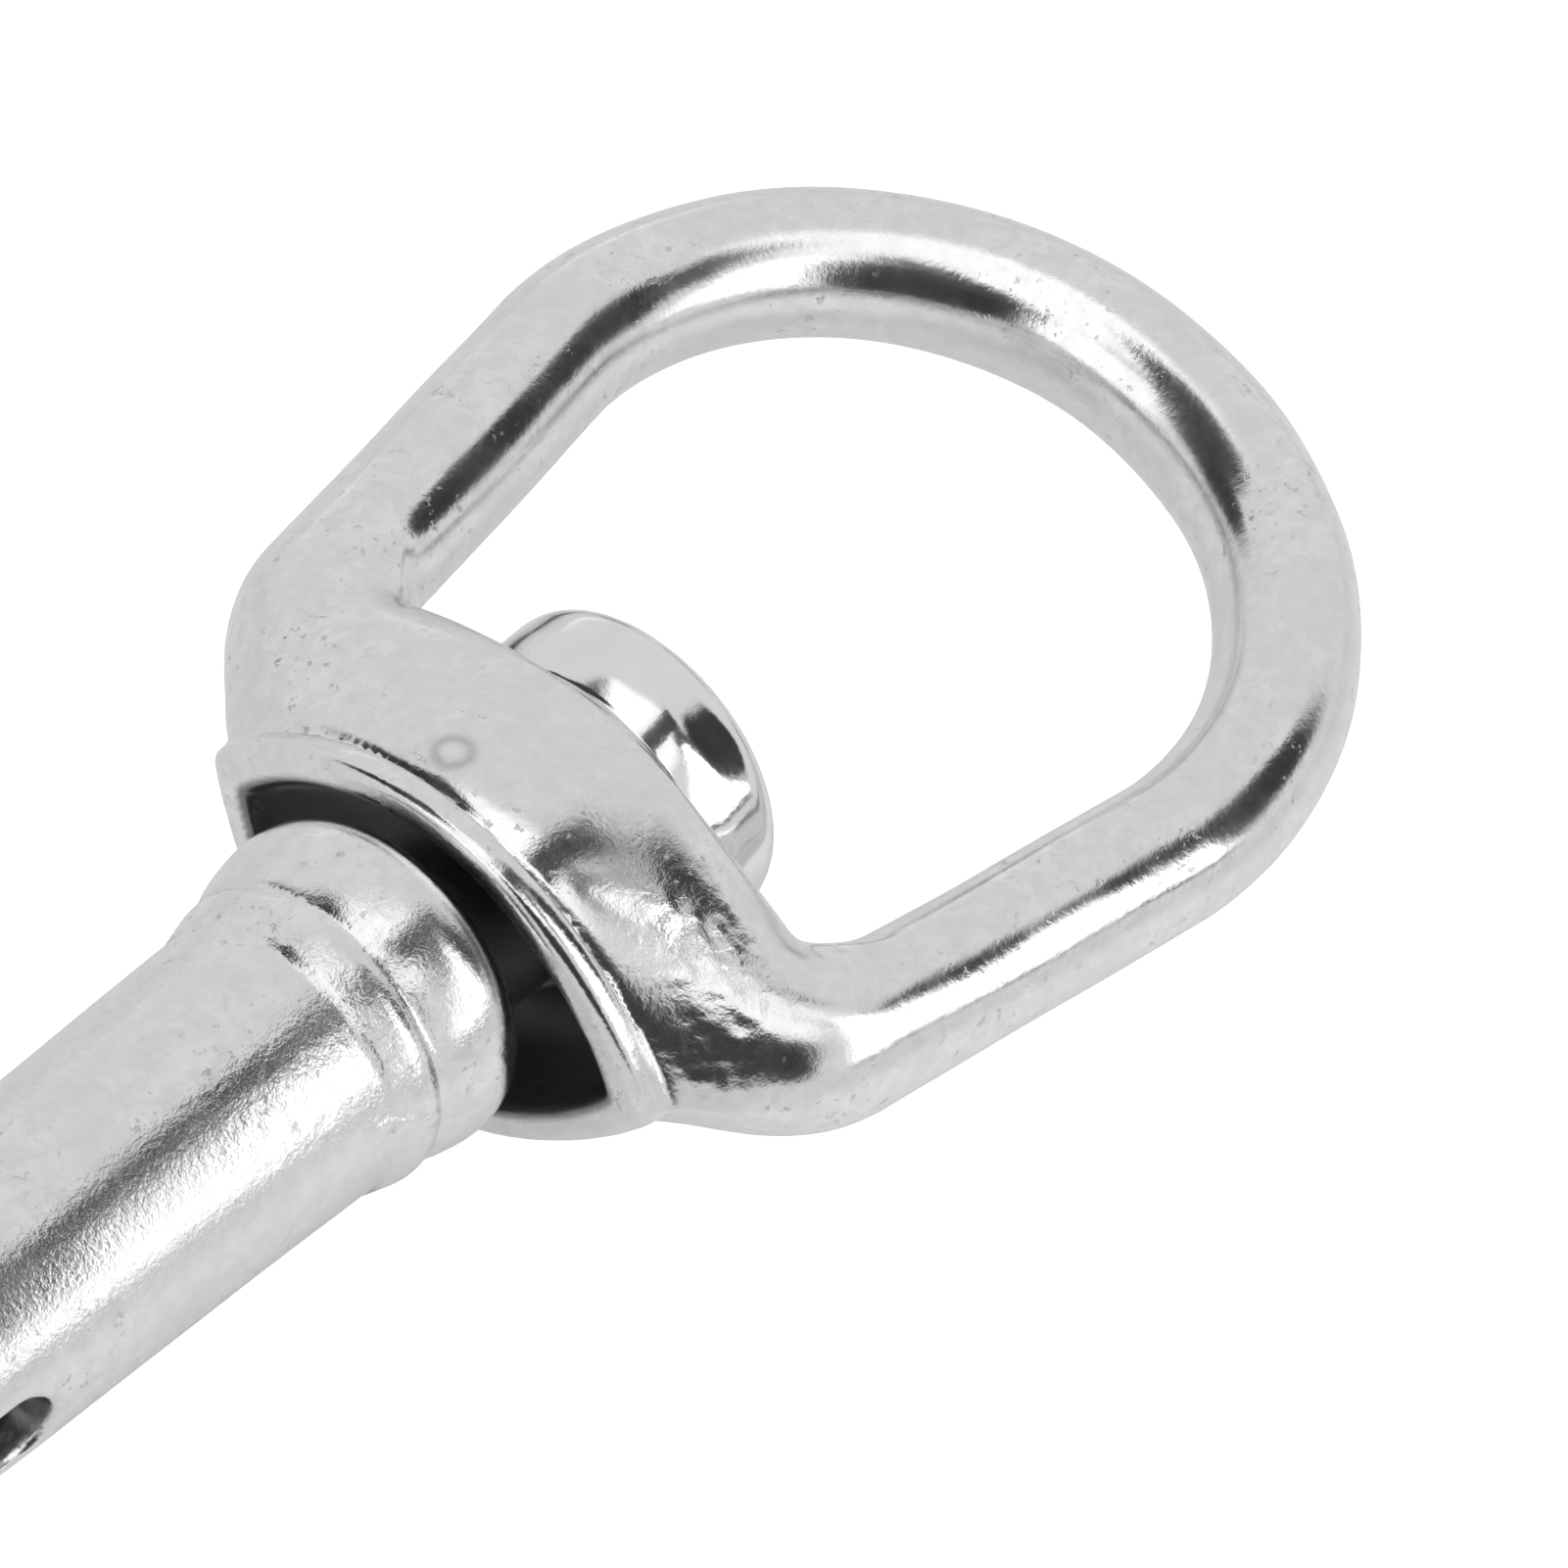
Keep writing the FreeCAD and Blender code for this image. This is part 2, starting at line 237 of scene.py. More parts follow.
# ------------------------------------------------------------------ swivel eye
EYE_BEARING_X = 31.86
WIRE_HALF_WIDTH = 2.21
WIRE_HALF_DEPTH = 2.35
LEG_HALF_SPACING = 9.02
LEG_FLARE = math.radians(8.56)
CROWN_RADIUS = 12.2
CORNER_RADIUS = 4.9
BRIDGE_X = 6.0
FOOT_RADIUS = 3.0
PIN_HOLE_RADIUS = 2.45
# Stations of the dish's lip, shell and hollow: x, half width, half depth.
DISH_LIP = [
    (0.6, 8.0, 5.5),
    (1.0, 8.35, 5.88),
    (1.25, 8.55, 6.0),
    (1.5, 8.58, 6.02),
    (1.8, 8.55, 5.98),
    (2.05, 8.4, 5.8),
    (2.3, 8.0, 5.4),
]
DISH_SHELL = [
    (1.2, 8.2, 5.0),
    (2.0, 8.4, 5.12),
    (2.5, 8.75, 5.5),
    (3.5, 9.0, 5.72),
    (5.2, 9.4, 5.68),
    (6.9, 9.6, 5.5),
    (7.8, 9.4, 5.3),
    (8.9, 8.8, 4.9),
]
DISH_HOLLOW = [
    (0.3, 7.6, 5.35),
    (1.1, 7.05, 4.9),
    (2.2, 6.5, 4.6),
    (3.6, 5.3, 4.3),
    (4.8, 3.6, 3.5),
]
# Pointedness of the dish's sections: 1 is an ellipse, 2 a lens between two parabolas.
LIP_POINT = 1.75
HOLLOW_POINT = (1.75, 1.4)
SHELL_POINT = (1.55, 1.5)
THUMB_SIDE_POINT = (0.4, 0.5)  # what the shell's thumb side adds to that
THUMB_SIDE_REACH = 2.0
DISH_MOUTH_X = 1.0
SHELL_SETBACK = 0.5
LIP_TOP_X = 2.1
BOSS_TOP_X = 8.4
MOUTH_SAG = 0.75
TOP_SKEW = 0.02
DISH_LEAN_X = (2.5, 7.5)  # where the sag ends and the lean takes over
HOLLOW_SHADE = (0.3, 0.08)  # distances outside the hollow where its shade starts and is full
CREASE_BLEND = 0.12
EYE_BLEND = 2.8
EDGE_ROUNDING = 0.2
BOSS_ROUNDING = 0.5
HOLE_ROUNDING = 0.1
PAST_FACE = 1.0  # how far a cut runs on past the face that it opens
LEG_SWELL = 0.12
LEG_SWELL_START_X = 14.0
LEG_SWELL_FULL_X = 6.5
FINE_RIPPLE = Ripple(3, 0.6)
BROAD_RIPPLE = Ripple(5, 6.0)
HAMMERED_DEPTH = 0.014
BROAD_DEPTH = 0.018
HAMMERED_SPOTS = [
    ((5.3, -6.3, 3.7), 2.6),
    ((5.2, -8.0, 2.6), 2.4),
    ((4.2, -8.8, 1.4), 1.8),
    ((3.4, -8.2, 1.5), 1.5),
]
# Small round mark on the front of the dish, of the kind that a ground-off casting gate leaves.
GATE_MARK = (3.51, 1.88)
GATE_RING_RADIUS = 0.52
GATE_RING_WIDTH = 0.17
GATE_RING_DEPTH = 0.045
GATE_MIDDLE_RADIUS = 0.3
GATE_MIDDLE_DEPTH = 0.04
TARNISH_WIDTH = 0.16
TARNISH_SHARE = 0.5
FRONT_Z = 2.0  # the mark is only on the side above this


def make_ring_distance():
    """Function giving the in-plane distance to the ring's centre line."""
    past_middle = -0.01
    slope = math.tan(LEG_FLARE)
    crown_x = EYE_BEARING_X + WIRE_HALF_WIDTH - CROWN_RADIUS
    offset = LEG_HALF_SPACING - CORNER_RADIUS / math.cos(LEG_FLARE)
    a = 1 + slope**2
    b = 2 * (offset * slope - crown_x)
    c = crown_x**2 + offset**2 - (CROWN_RADIUS - CORNER_RADIUS) ** 2
    corner_x = (-b + math.sqrt(b * b - 4 * a * c)) / (2 * a)
    corner_y = offset + corner_x * slope
    leg_angle = math.pi / 2 + LEG_FLARE
    crown_angle = math.atan2(corner_y, corner_x - crown_x)
    foot_x = BRIDGE_X + FOOT_RADIUS
    foot_y = LEG_HALF_SPACING + foot_x * slope - FOOT_RADIUS / math.cos(LEG_FLARE)

    def on_circle(centre, radius, angle):
        return (centre[0] + radius * math.cos(angle), centre[1] + radius * math.sin(angle))

    leg_foot = on_circle((foot_x, foot_y), FOOT_RADIUS, leg_angle)
    leg_top = on_circle((corner_x, corner_y), CORNER_RADIUS, leg_angle)

    def distance(x, y):
        y = np.abs(y)
        d = segment_distance(x, y, leg_foot, leg_top)
        d = np.minimum(d, segment_distance(x, y, (BRIDGE_X, 0), (BRIDGE_X, foot_y)))
        foot = arc_distance(x, y, (foot_x, foot_y), FOOT_RADIUS, leg_angle, math.pi)
        corner = arc_distance(
            x, y, (corner_x, corner_y), CORNER_RADIUS, crown_angle, leg_angle
        )
        crown = arc_distance(x, y, (crown_x, 0), CROWN_RADIUS, past_middle, crown_angle)
        return np.minimum(np.minimum(d, foot), np.minimum(corner, crown))

    return distance


ring_distance = make_ring_distance()


def lens_field(x, y, z, stations, point_from, point_to):
    """Rough distance to a body with pointed sections across x.

    point_from and point_to are the pointedness at the first and at the last station.
    """
    curve = smooth_curve(stations, 8)
    half_width = np.interp(x, curve[:, 0], curve[:, 1])
    half_depth = np.interp(x, curve[:, 0], curve[:, 2])
    share = np.clip((x - curve[0, 0]) / (curve[-1, 0] - curve[0, 0]), 0, 1)
    power = 2 / (point_from + share * (point_to - point_from))
    deep = np.maximum(np.abs(z), 0.02) / half_depth
    level = deep**power + (y / half_width) ** 2 - 1
    slope = np.hypot(power * deep ** (power - 1) / half_depth, 2 * y / half_width**2)
    return level / np.maximum(slope, 0.5 / half_depth)


def dish_x(x, y):
    """x as the dish sees it: its mouth sags between the tips and its top leans."""
    top = smooth_step(x, *DISH_LEAN_X)
    tip_y = DISH_LIP[2][1]
    return x - MOUTH_SAG * (y / tip_y) ** 2 * (1 - top) - TOP_SKEW * y * top


def hollow_field(x, y, z):
    bent = dish_x(x, y)
    hollow = lens_field(bent, y, z, DISH_HOLLOW, *HOLLOW_POINT)
    return np.maximum(hollow, bent - DISH_HOLLOW[-1][0])


def gate_ring(x, y, width):
    """1 on the circle of the gate mark, falling off over a width."""
    from_mark = np.hypot(x - GATE_MARK[0], y - GATE_MARK[1])
    return np.exp(-(((from_mark - GATE_RING_RADIUS) / width) ** 2))


def gate_relief(x, y, z):
    """Depth of the gate mark's sunken rim and of its rough middle."""
    from_mark = np.hypot(x - GATE_MARK[0], y - GATE_MARK[1])
    rim = gate_ring(x, y, GATE_RING_WIDTH) * (0.6 + 0.4 * FINE_RIPPLE(x, y, z))
    middle = np.exp(-((from_mark / GATE_MIDDLE_RADIUS) ** 2)) * FINE_RIPPLE(x, y, z)
    return np.where(z > FRONT_Z, GATE_RING_DEPTH * rim + GATE_MIDDLE_DEPTH * middle, 0)


def dish_field(x, y, z, ring):
    """The ring joined to the dish's shell and raised lip."""
    bent = dish_x(x, y)
    lip = lens_field(bent, y, z, DISH_LIP, LIP_POINT, LIP_POINT)
    lip = smooth_cut(lip, bent - DISH_MOUTH_X, EDGE_ROUNDING)
    lip = smooth_cut(lip, LIP_TOP_X - bent, EDGE_ROUNDING)
    thumb_side = smooth_step(-y, -THUMB_SIDE_REACH, THUMB_SIDE_REACH)
    point = [a + b * thumb_side for a, b in zip(SHELL_POINT, THUMB_SIDE_POINT)]
    shell = lens_field(bent, y, z, DISH_SHELL, *point)
    shell = smooth_cut(shell, bent - DISH_MOUTH_X - SHELL_SETBACK, EDGE_ROUNDING)
    shell = smooth_cut(shell, BOSS_TOP_X - bent, BOSS_ROUNDING)
    return smooth_union(smooth_union(ring, shell, EYE_BLEND), lip, CREASE_BLEND)


def eye_field(x, y, z):
    flat = ring_distance(x, y)
    swell = 1 + LEG_SWELL * smooth_step(x, LEG_SWELL_START_X, LEG_SWELL_FULL_X)
    ring = (np.hypot(flat / WIRE_HALF_WIDTH, z / WIRE_HALF_DEPTH / swell) - 1) * WIRE_HALF_WIDTH
    body = dish_field(x, y, z, ring)
    body = smooth_cut(body, hollow_field(x, y, z), EDGE_ROUNDING)
    pin_hole = np.maximum(np.hypot(y, z) - PIN_HOLE_RADIUS, x - BOSS_TOP_X - PAST_FACE)
    body = smooth_cut(body, pin_hole, HOLE_ROUNDING)
    hammered = sum(near(x, y, z, centre, radius) for centre, radius in HAMMERED_SPOTS)
    body = body + HAMMERED_DEPTH * np.minimum(hammered, 1) * FINE_RIPPLE(x, y, z)
    body = body + BROAD_DEPTH * BROAD_RIPPLE(x, y, z)
    return body + gate_relief(x, y, z)


def eye_painted_shade_and_tarnish(x, y, z):
    """Painted shade in the dish's hollow, and the tarnish in the ring of the gate mark."""
    tarnish = np.where(z > FRONT_Z, TARNISH_SHARE * gate_ring(x, y, TARNISH_WIDTH), 0)
    return np.maximum(smooth_step(hollow_field(x, y, z), *HOLLOW_SHADE), tarnish)


# ------------------------------------------------------------------ hook body
# Profiles of the turned stretches: x, radius.
BARREL_PROFILE = [
    (-39.0, 4.2),
    (-22.0, 4.2),
    (-6.0, 4.46),
    (-4.9, 4.54),
    (-4.1, 4.74),
    (-3.6, 4.84),
    (-3.1, 4.74),
    (-2.5, 4.3),
]
COLLAR_PROFILE = [
    (-3.6, 4.0),
    (-3.1, 4.62),
    (-2.75, 4.86),
    (-2.0, 5.1),
    (-0.9, 5.24),
    (0.1, 4.98),
    (0.7, 4.2),
    (0.95, 3.0),
]
COLLAR_Y = 0.16
COLLAR_BLEND = 0.1
NECK_RADIUS = 3.0
NECK_END_X = 4.4
BARREL_END_X = -39.0
BORE_RADIUS = 2.65
BORE_END_X = -12.0
PIN_RADIUS = 2.4
PIN_END_X = -5.5
SLOT_HALF_WIDTH = 1.45
SLOT_TOP_X = -18.2
SLOT_BOTTOM_X = -35.6
# Raised dash on the collar's thumb side: its two ends in x and z.
COLLAR_DASH = ((-5.3, 1.72), (-3.25, 1.05))
DASH_HEIGHT = 0.1
DASH_WIDTH = 0.16
DASH_MAX_Y = -3
TIP_X = -50.0
GATE_CLEAR_X = -42.0
GATE_CLEAR_Y = 4.5
BOW_START_X = -54.0
BOW_RADIUS = 8.5
SEAT_RADIUS = 1.95
SEAT_DEPTH = 0.6
HOOK_BLEND = 2.4
COLLAR_END_ROUNDING = 0.4
SLOPE_ALLOWANCE = 0.9  # brings a radial distance nearer to the true one
COLLAR_SHADE_X = (0.2, 0.8)
CASTING_ROUNDING = 0.7
SLOT_ROUNDING = 0.3
BORE_ROUNDING = 0.25
BARREL_RIPPLE = Ripple(11, 7.0)
PEBBLE_RIPPLE = Ripple(13, 0.6)
RIPPLE_DEPTH = 0.014
PEBBLE_DEPTH = 0.006
PEBBLED_SPOTS = [((-5.0, -1.6, 4.4), 3.4), ((-8.5, -3.4, 3.2), 4.0)]
HOOK_TABLE_X = (-68, -22)
HOOK_TABLE_Y = (-6, 23)


def hook_stations():
    """Rows of (x, y, half width, half depth) from the tip round to the barrel."""
    rows = [(-50.7, 0.0, 2.75, 2.75), (-52.4, 0.0, 2.75, 2.75), (BOW_START_X, 0.0, 2.8, 2.85)]
    for turn in (22, 45, 67, 90, 112, 135, 158, 180):
        angle = math.radians(turn)
        x = BOW_START_X - BOW_RADIUS * math.sin(angle)
        rows.append((x, BOW_RADIUS * (1 - math.cos(angle)), 3.0, 3.1))
    return rows + [
        (-50.0, 16.6, 3.0, 3.1),
        (-45.0, 14.2, 3.1, 3.2),
        (-40.5, 10.2, 3.3, 3.4),
        (-36.0, 5.7, 3.4, 3.6),
        (-31.0, 2.2, 3.0, 3.4),
        (-26.0, 0.4, 2.7, 3.1),
    ]


def make_hook_table(step=0.1):
    """Table over (x, y) of the distance to the hook's centre line and its local size."""
    line = smooth_curve([(TIP_X, 0.0, 2.6, 2.6)] + hook_stations(), 14)
    xs = np.arange(*HOOK_TABLE_X, step)
    ys = np.arange(*HOOK_TABLE_Y, step)
    gx, gy = np.meshgrid(xs, ys, indexing="ij")
    best = np.full(gx.shape, 1e9)
    width = np.zeros(gx.shape)
    depth = np.zeros(gx.shape)
    for a, b in zip(line[:-1], line[1:]):
        dx, dy = b[0] - a[0], b[1] - a[1]
        length2 = dx * dx + dy * dy
        t = np.clip(((gx - a[0]) * dx + (gy - a[1]) * dy) / length2, 0, 1)
        d = np.hypot(gx - a[0] - t * dx, gy - a[1] - t * dy)
        closer = d < best
        best = np.where(closer, d, best)
        width = np.where(closer, a[2] + t * (b[2] - a[2]), width)
        depth = np.where(closer, a[3] + t * (b[3] - a[3]), depth)
    return xs, ys, np.stack([best, width, depth])


HOOK_XS, HOOK_YS, HOOK_TABLE = make_hook_table()


def read_hook_table(x, y):
    """Distance, half width and half depth, read between the table's points."""
    step = HOOK_XS[1] - HOOK_XS[0]
    u = np.clip((x - HOOK_XS[0]) / step, 0, len(HOOK_XS) - 1.001)
    v = np.clip((y - HOOK_YS[0]) / step, 0, len(HOOK_YS) - 1.001)
    i, j = np.floor(u).astype(int), np.floor(v).astype(int)
    s, t = u - i, v - j
    low = HOOK_TABLE[:, i, j] * (1 - s) + HOOK_TABLE[:, i + 1, j] * s
    high = HOOK_TABLE[:, i, j + 1] * (1 - s) + HOOK_TABLE[:, i + 1, j + 1] * s
    return low * (1 - t) + high * t


def turned_field(x, radius, profile):
    """Rough distance to a turned body, cut off square beyond its profile's last point."""
    curve = smooth_curve(profile, 10)
    side = (radius - np.interp(x, curve[:, 0], curve[:, 1])) * SLOPE_ALLOWANCE
    return smooth_cut(side, profile[-1][0] - x, COLLAR_END_ROUNDING)


def barrel_field(x, y, z):
    """Barrel with the collar at its top and the neck that the eye turns on."""
    radius = np.hypot(y, z)
    barrel = turned_field(x, radius, BARREL_PROFILE)
    barrel = smooth_cut(barrel, x - BARREL_END_X, CASTING_ROUNDING)
    collar = turned_field(x, np.hypot(y - COLLAR_Y, z), COLLAR_PROFILE)
    collar = np.maximum(collar, COLLAR_PROFILE[0][0] - x)
    barrel = smooth_union(barrel, collar, COLLAR_BLEND)
    neck = np.maximum(radius - NECK_RADIUS, np.maximum(-x, x - NECK_END_X))
    return np.minimum(barrel, neck)


def beyond_tip(x, y):
    """Negative across the gate opening, from the hook tip's end face up to short of the barrel."""
    return np.where((y < GATE_CLEAR_Y) & (x < GATE_CLEAR_X), TIP_X - x, 1.0)


def hook_field(x, y, z):
    flat, width, depth = read_hook_table(*np.broadcast_arrays(x, y))
    hook = (np.hypot(flat / width, z / depth) - 1) * width
    return smooth_cut(hook, beyond_tip(x, y), CASTING_ROUNDING)


def slot_field(x, y, z):
    """The thumb knob's slot, round at both ends, on the barrel's thumb side."""
    below = SLOT_BOTTOM_X + SLOT_HALF_WIDTH - x
    above = x - SLOT_TOP_X + SLOT_HALF_WIDTH
    past_end = np.maximum(np.maximum(below, above), 0)
    return np.maximum(np.hypot(past_end, z) - SLOT_HALF_WIDTH, y)


def body_field(x, y, z):
    radius = np.hypot(y, z)
    body = smooth_union(barrel_field(x, y, z), hook_field(x, y, z), HOOK_BLEND)
    bore = np.maximum(radius - BORE_RADIUS, np.maximum(TIP_X - x, x - BORE_END_X))
    body = smooth_cut(body, bore, BORE_ROUNDING)
    pin = np.maximum(radius - PIN_RADIUS, PIN_END_X - x)
    body = smooth_cut(body, pin, HOLE_ROUNDING)
    body = smooth_cut(body, slot_field(x, y, z), SLOT_ROUNDING)
    seat_ends = np.maximum(TIP_X - SEAT_DEPTH - x, x - TIP_X - PAST_FACE)
    seat = np.maximum(radius - SEAT_RADIUS, seat_ends)
    body = smooth_cut(body, seat, BORE_ROUNDING)
    pebbled = sum(near(x, y, z, centre, radius) for centre, radius in PEBBLED_SPOTS)
    body = body + PEBBLE_DEPTH * np.minimum(pebbled, 1) * PEBBLE_RIPPLE(x, y, z)
    from_dash = segment_distance(x, z, *COLLAR_DASH)
    raised = np.where(y < DASH_MAX_Y, np.exp(-((from_dash / DASH_WIDTH) ** 2)), 0)
    body = body - DASH_HEIGHT * raised
    return body + RIPPLE_DEPTH * BARREL_RIPPLE(x, y, z)


def collar_painted_shade(x, y, z):
    """Painted shade on the collar's top, under the eye's dish."""
    return smooth_step(x, *COLLAR_SHADE_X)


# ------------------------------------------------------------------ build the pieces
eye = mesh_from_field(
    "swivel_eye_casting", eye_field, low=(0.2, -15.2, -6.8), high=(37.2, 15.2, 6.8), step=0.17
)
# The dish's hollow gets painted shade, the gate mark's ring its tarnish.
mark_painted_shade_and_tarnish(eye, eye_painted_shade_and_tarnish)
body = mesh_from_field(
    "hook_body_casting", body_field, low=(-67.0, -6.2, -6.2), high=(5.2, 21.2, 6.2), step=0.19
)
# The collar's top under the eye's dish gets painted shade.
mark_painted_shade_and_tarnish(body, collar_painted_shade)


def head_wobble(angle, along):
    """Hand-peened look of the rivet head, as a share of its radius."""
    return 0.012 * math.sin(2 * angle + 0.6) + 0.007 * math.sin(3 * angle + along)


HEAD_Y = 0.3  # the peened head sits a little off the axis
rivet = lathe(
    "swivel_rivet_pin",
    rounded_outline(
        [
            (-5.5, 0.0, 0),
            (-5.5, 2.05, 0.2),
            (8.55, 2.05, 0.12),
            (8.55, 4.75, 0.25),
            (9.7, 5.12, 0.4),
            (11.35, 5.12, 0.55),
            (12.3, 4.0, 0.9),
            (12.8, 0.0, 0),
        ]
    ),
    (0, HEAD_Y, 0),
    (1, 0, 0),
    (0, 1, 0),
    wobble=head_wobble,
)

bolt = lathe(
    "bolt_plunger",
    rounded_outline(
        [
            (-50.1, 0.0, 0),
            (-50.1, 1.6, 0.35),
            (-48.8, 2.6, 0.35),
            (-28.6, 2.6, 0.3),
            (-28.6, 1.5, 0.1),
            (-26.1, 1.5, 0.25),
            (-26.1, 0.0, 0),
        ]
    ),
    (0, 0, 0),
    (1, 0, 0),
    (0, 1, 0),
)

KNOB_X = -33.5
knob = lathe(
    "thumb_knob_stud",
    rounded_outline(
        [
            (-1.9, 0.0, 0),
            (-1.9, 0.85, 0.15),
            (2.3, 0.85, 0.05),
            (2.3, 1.25, 0.05),
            (4.7, 1.25, 0.25),
            (5.5, 2.6, 0.35),
            (6.3, 3.9, 0.5),
            (7.4, 3.9, 0.4),
            (8.2, 3.3, 0.35),
            (8.0, 1.6, 0.5),
            (7.9, 0.0, 0),
        ]
    ),
    (KNOB_X, 0, 0),
    (0, -1, 0),
    (1, 0, 0),
)


# ------------------------------------------------------------------ spring
SPRING_START_X = -28.27
SPRING_END_X = -12.33
SPRING_TURNS = 8
SPRING_COIL_RADIUS = 2.12
SPRING_WIRE_RADIUS = 0.28


def make_spring(steps_per_turn=44, around=12):
    """Coil of round wire whose first and last turns lie closed."""
    closed_pitch = 2.3 * SPRING_WIRE_RADIUS
    open_length = SPRING_END_X - SPRING_START_X - 2 * closed_pitch
    open_pitch = open_length / (SPRING_TURNS - 2)
    centres = []
    for step in range(SPRING_TURNS * steps_per_turn + 1):
        turns = step / steps_per_turn
        free = min(max(turns - 1, 0), SPRING_TURNS - 2)
        angle = 2 * math.pi * turns
        centres.append(
            (
                SPRING_START_X + closed_pitch * (turns - free) + open_pitch * free,
                SPRING_COIL_RADIUS * math.cos(angle),
                SPRING_COIL_RADIUS * math.sin(angle),
            )
        )
    centres = [Vector(c) for c in centres]
    points, faces = [], []
    for k, centre in enumerate(centres):
        ahead, behind = centres[min(k + 1, len(centres) - 1)], centres[max(k - 1, 0)]
        forward = (ahead - behind).normalized()
        out = Vector((0, centre.y, centre.z)).normalized()
        out = (out - forward * out.dot(forward)).normalized()
        across = forward.cross(out)
        for j in range(around):
            angle = 2 * math.pi * j / around
            away = out * math.cos(angle) + across * math.sin(angle)
            points.append(centre + away * SPRING_WIRE_RADIUS)
    for k in range(len(centres) - 1):
        for j in range(around):
            a, b = k * around + j, k * around + (j + 1) % around
            faces.append((a, b, b + around, a + around))
    faces.append(tuple(range(around))[::-1])
    last = (len(centres) - 1) * around
    faces.append(tuple(range(last, last + around)))
    return mesh_object("bolt_spring_coil", points, faces)


spring = make_spring()


# ------------------------------------------------------------------ materials
class Nodes:
    """Short way to build a node tree whose coordinates are row-frame millimetres."""

    def __init__(self, name):
        self.material = bpy.data.materials.new(name)
        self.material.use_nodes = True
        self.tree = self.material.node_tree
        self.tree.nodes.clear()
        self.output = self.add("ShaderNodeOutputMaterial")
        self.shader = self.add("ShaderNodeBsdfPrincipled")
        self.link(self.shader.outputs["BSDF"], self.output.inputs["Surface"])
        coordinates = self.add("ShaderNodeTexCoord")
        scale = self.add("ShaderNodeVectorMath", operation="SCALE")
        scale.inputs["Scale"].default_value = 1 / MM
        self.link(coordinates.outputs["Object"], scale.inputs[0])
        self.place = scale.outputs["Vector"]

    def add(self, kind, **settings):
        node = self.tree.nodes.new(kind)
        for key, value in settings.items():
            setattr(node, key, value)
        return node

    def link(self, a, b):
        self.tree.links.new(a, b)

    def put(self, value, socket):
        if isinstance(value, (int, float)):
            socket.default_value = value
        else:
            self.link(value, socket)

    def noise(self, scale, detail=2.0, roughness=0.5, offset=0.0, distortion=0.0):
        node = self.add("ShaderNodeTexNoise")
        place = self.add("ShaderNodeVectorMath", operation="ADD")
        place.inputs[1].default_value = (offset, offset * 1.7, -offset)
        self.link(self.place, place.inputs[0])
        self.link(place.outputs["Vector"], node.inputs["Vector"])
        node.inputs["Scale"].default_value = scale
        node.inputs["Detail"].default_value = detail
        node.inputs["Roughness"].default_value = roughness
        node.inputs["Distortion"].default_value = distortion
        return node.outputs["Fac"]

    def pits(self, scale, low, high, offset=0.0):
        """1 in small round pits scattered over the surface, 0 between them."""
        place = self.add("ShaderNodeVectorMath", operation="ADD")
        place.inputs[1].default_value = (offset, -offset, offset * 0.6)
        self.link(self.place, place.inputs[0])
        node = self.add("ShaderNodeTexVoronoi", feature="F1")
        self.link(place.outputs["Vector"], node.inputs["Vector"])
        node.inputs["Scale"].default_value = scale
        return self.ramp(node.outputs["Distance"], low, high, 1.0, 0.0)

    def ramp(self, value, low, high, out_low=0.0, out_high=1.0):
        node = self.add("ShaderNodeMapRange", interpolation_type="SMOOTHSTEP")
        self.link(value, node.inputs["Value"])
        node.inputs["From Min"].default_value = low
        node.inputs["From Max"].default_value = high
        node.inputs["To Min"].default_value = out_low
        node.inputs["To Max"].default_value = out_high
        return node.outputs["Result"]

    def math(self, operation, a, b, clamp=False):
        node = self.add("ShaderNodeMath", operation=operation, use_clamp=clamp)
        self.put(a, node.inputs[0])
        self.put(b, node.inputs[1])
        return node.outputs["Value"]

    def plus(self, value, other, amount, clamp=False):
        """value with other * amount added."""
        return self.math("ADD", value, self.math("MULTIPLY", other, amount), clamp=clamp)

    def near(self, centre, inner, outer):
        """1 within a radius of a point in swivel-frame millimetres, falling to 0."""
        node = self.add("ShaderNodeVectorMath", operation="DISTANCE")
        self.link(self.place, node.inputs[0])
        node.inputs[1].default_value = (centre[0] + SWIVEL_X / MM, centre[1], centre[2])
        return self.ramp(node.outputs["Value"], inner, outer, 1.0, 0.0)

    def mix_colour(self, factor, a, b):
        node = self.add("ShaderNodeMix", data_type="RGBA")
        self.put(factor, node.inputs["Factor"])
        for value, socket in ((a, node.inputs["A"]), (b, node.inputs["B"])):
            if isinstance(value, tuple):
                socket.default_value = (*value, 1.0)
            else:
                self.link(value, socket)
        return node.outputs["Result"]

    def bump(self, height, depth_mm, normal=None):
        node = self.add("ShaderNodeBump")
        node.inputs["Strength"].default_value = 1.0
        node.inputs["Distance"].default_value = depth_mm * MM
        self.link(height, node.inputs["Height"])
        if normal is not None:
            self.link(normal, node.inputs["Normal"])
        return node.outputs["Normal"]


# Spots where the casting was left rough: centre, radius of the full effect, radius where it ends.
ROUGH_SPOTS = [
    ((4.6, -7.4, 3.0), 1.2, 4.0),
    ((-4.6, -1.4, 4.5), 0.8, 3.2),
    ((-4.8, -4.2, 1.8), 0.8, 3.4),
]
COARSE_BARREL = ((-12.0, -2.5, 3.8), 4.0, 17.0)
BRIGHT_PLATE = (0.8, 0.801, 0.803)
SPRING_STEEL = (0.46, 0.46, 0.47)
DULL_PLATE = (0.78, 0.782, 0.784)
PALE_PLATE = (0.89, 0.891, 0.892)
SPECK_COLOUR = (0.34, 0.34, 0.34)
NICK_COLOUR = (0.3, 0.3, 0.3)
# Colour of the painted shade in the hollows, also used for the gate mark's tarnish.
PAINTED_SHADE_AND_TARNISH_COLOUR = (0.3, 0.3, 0.31)


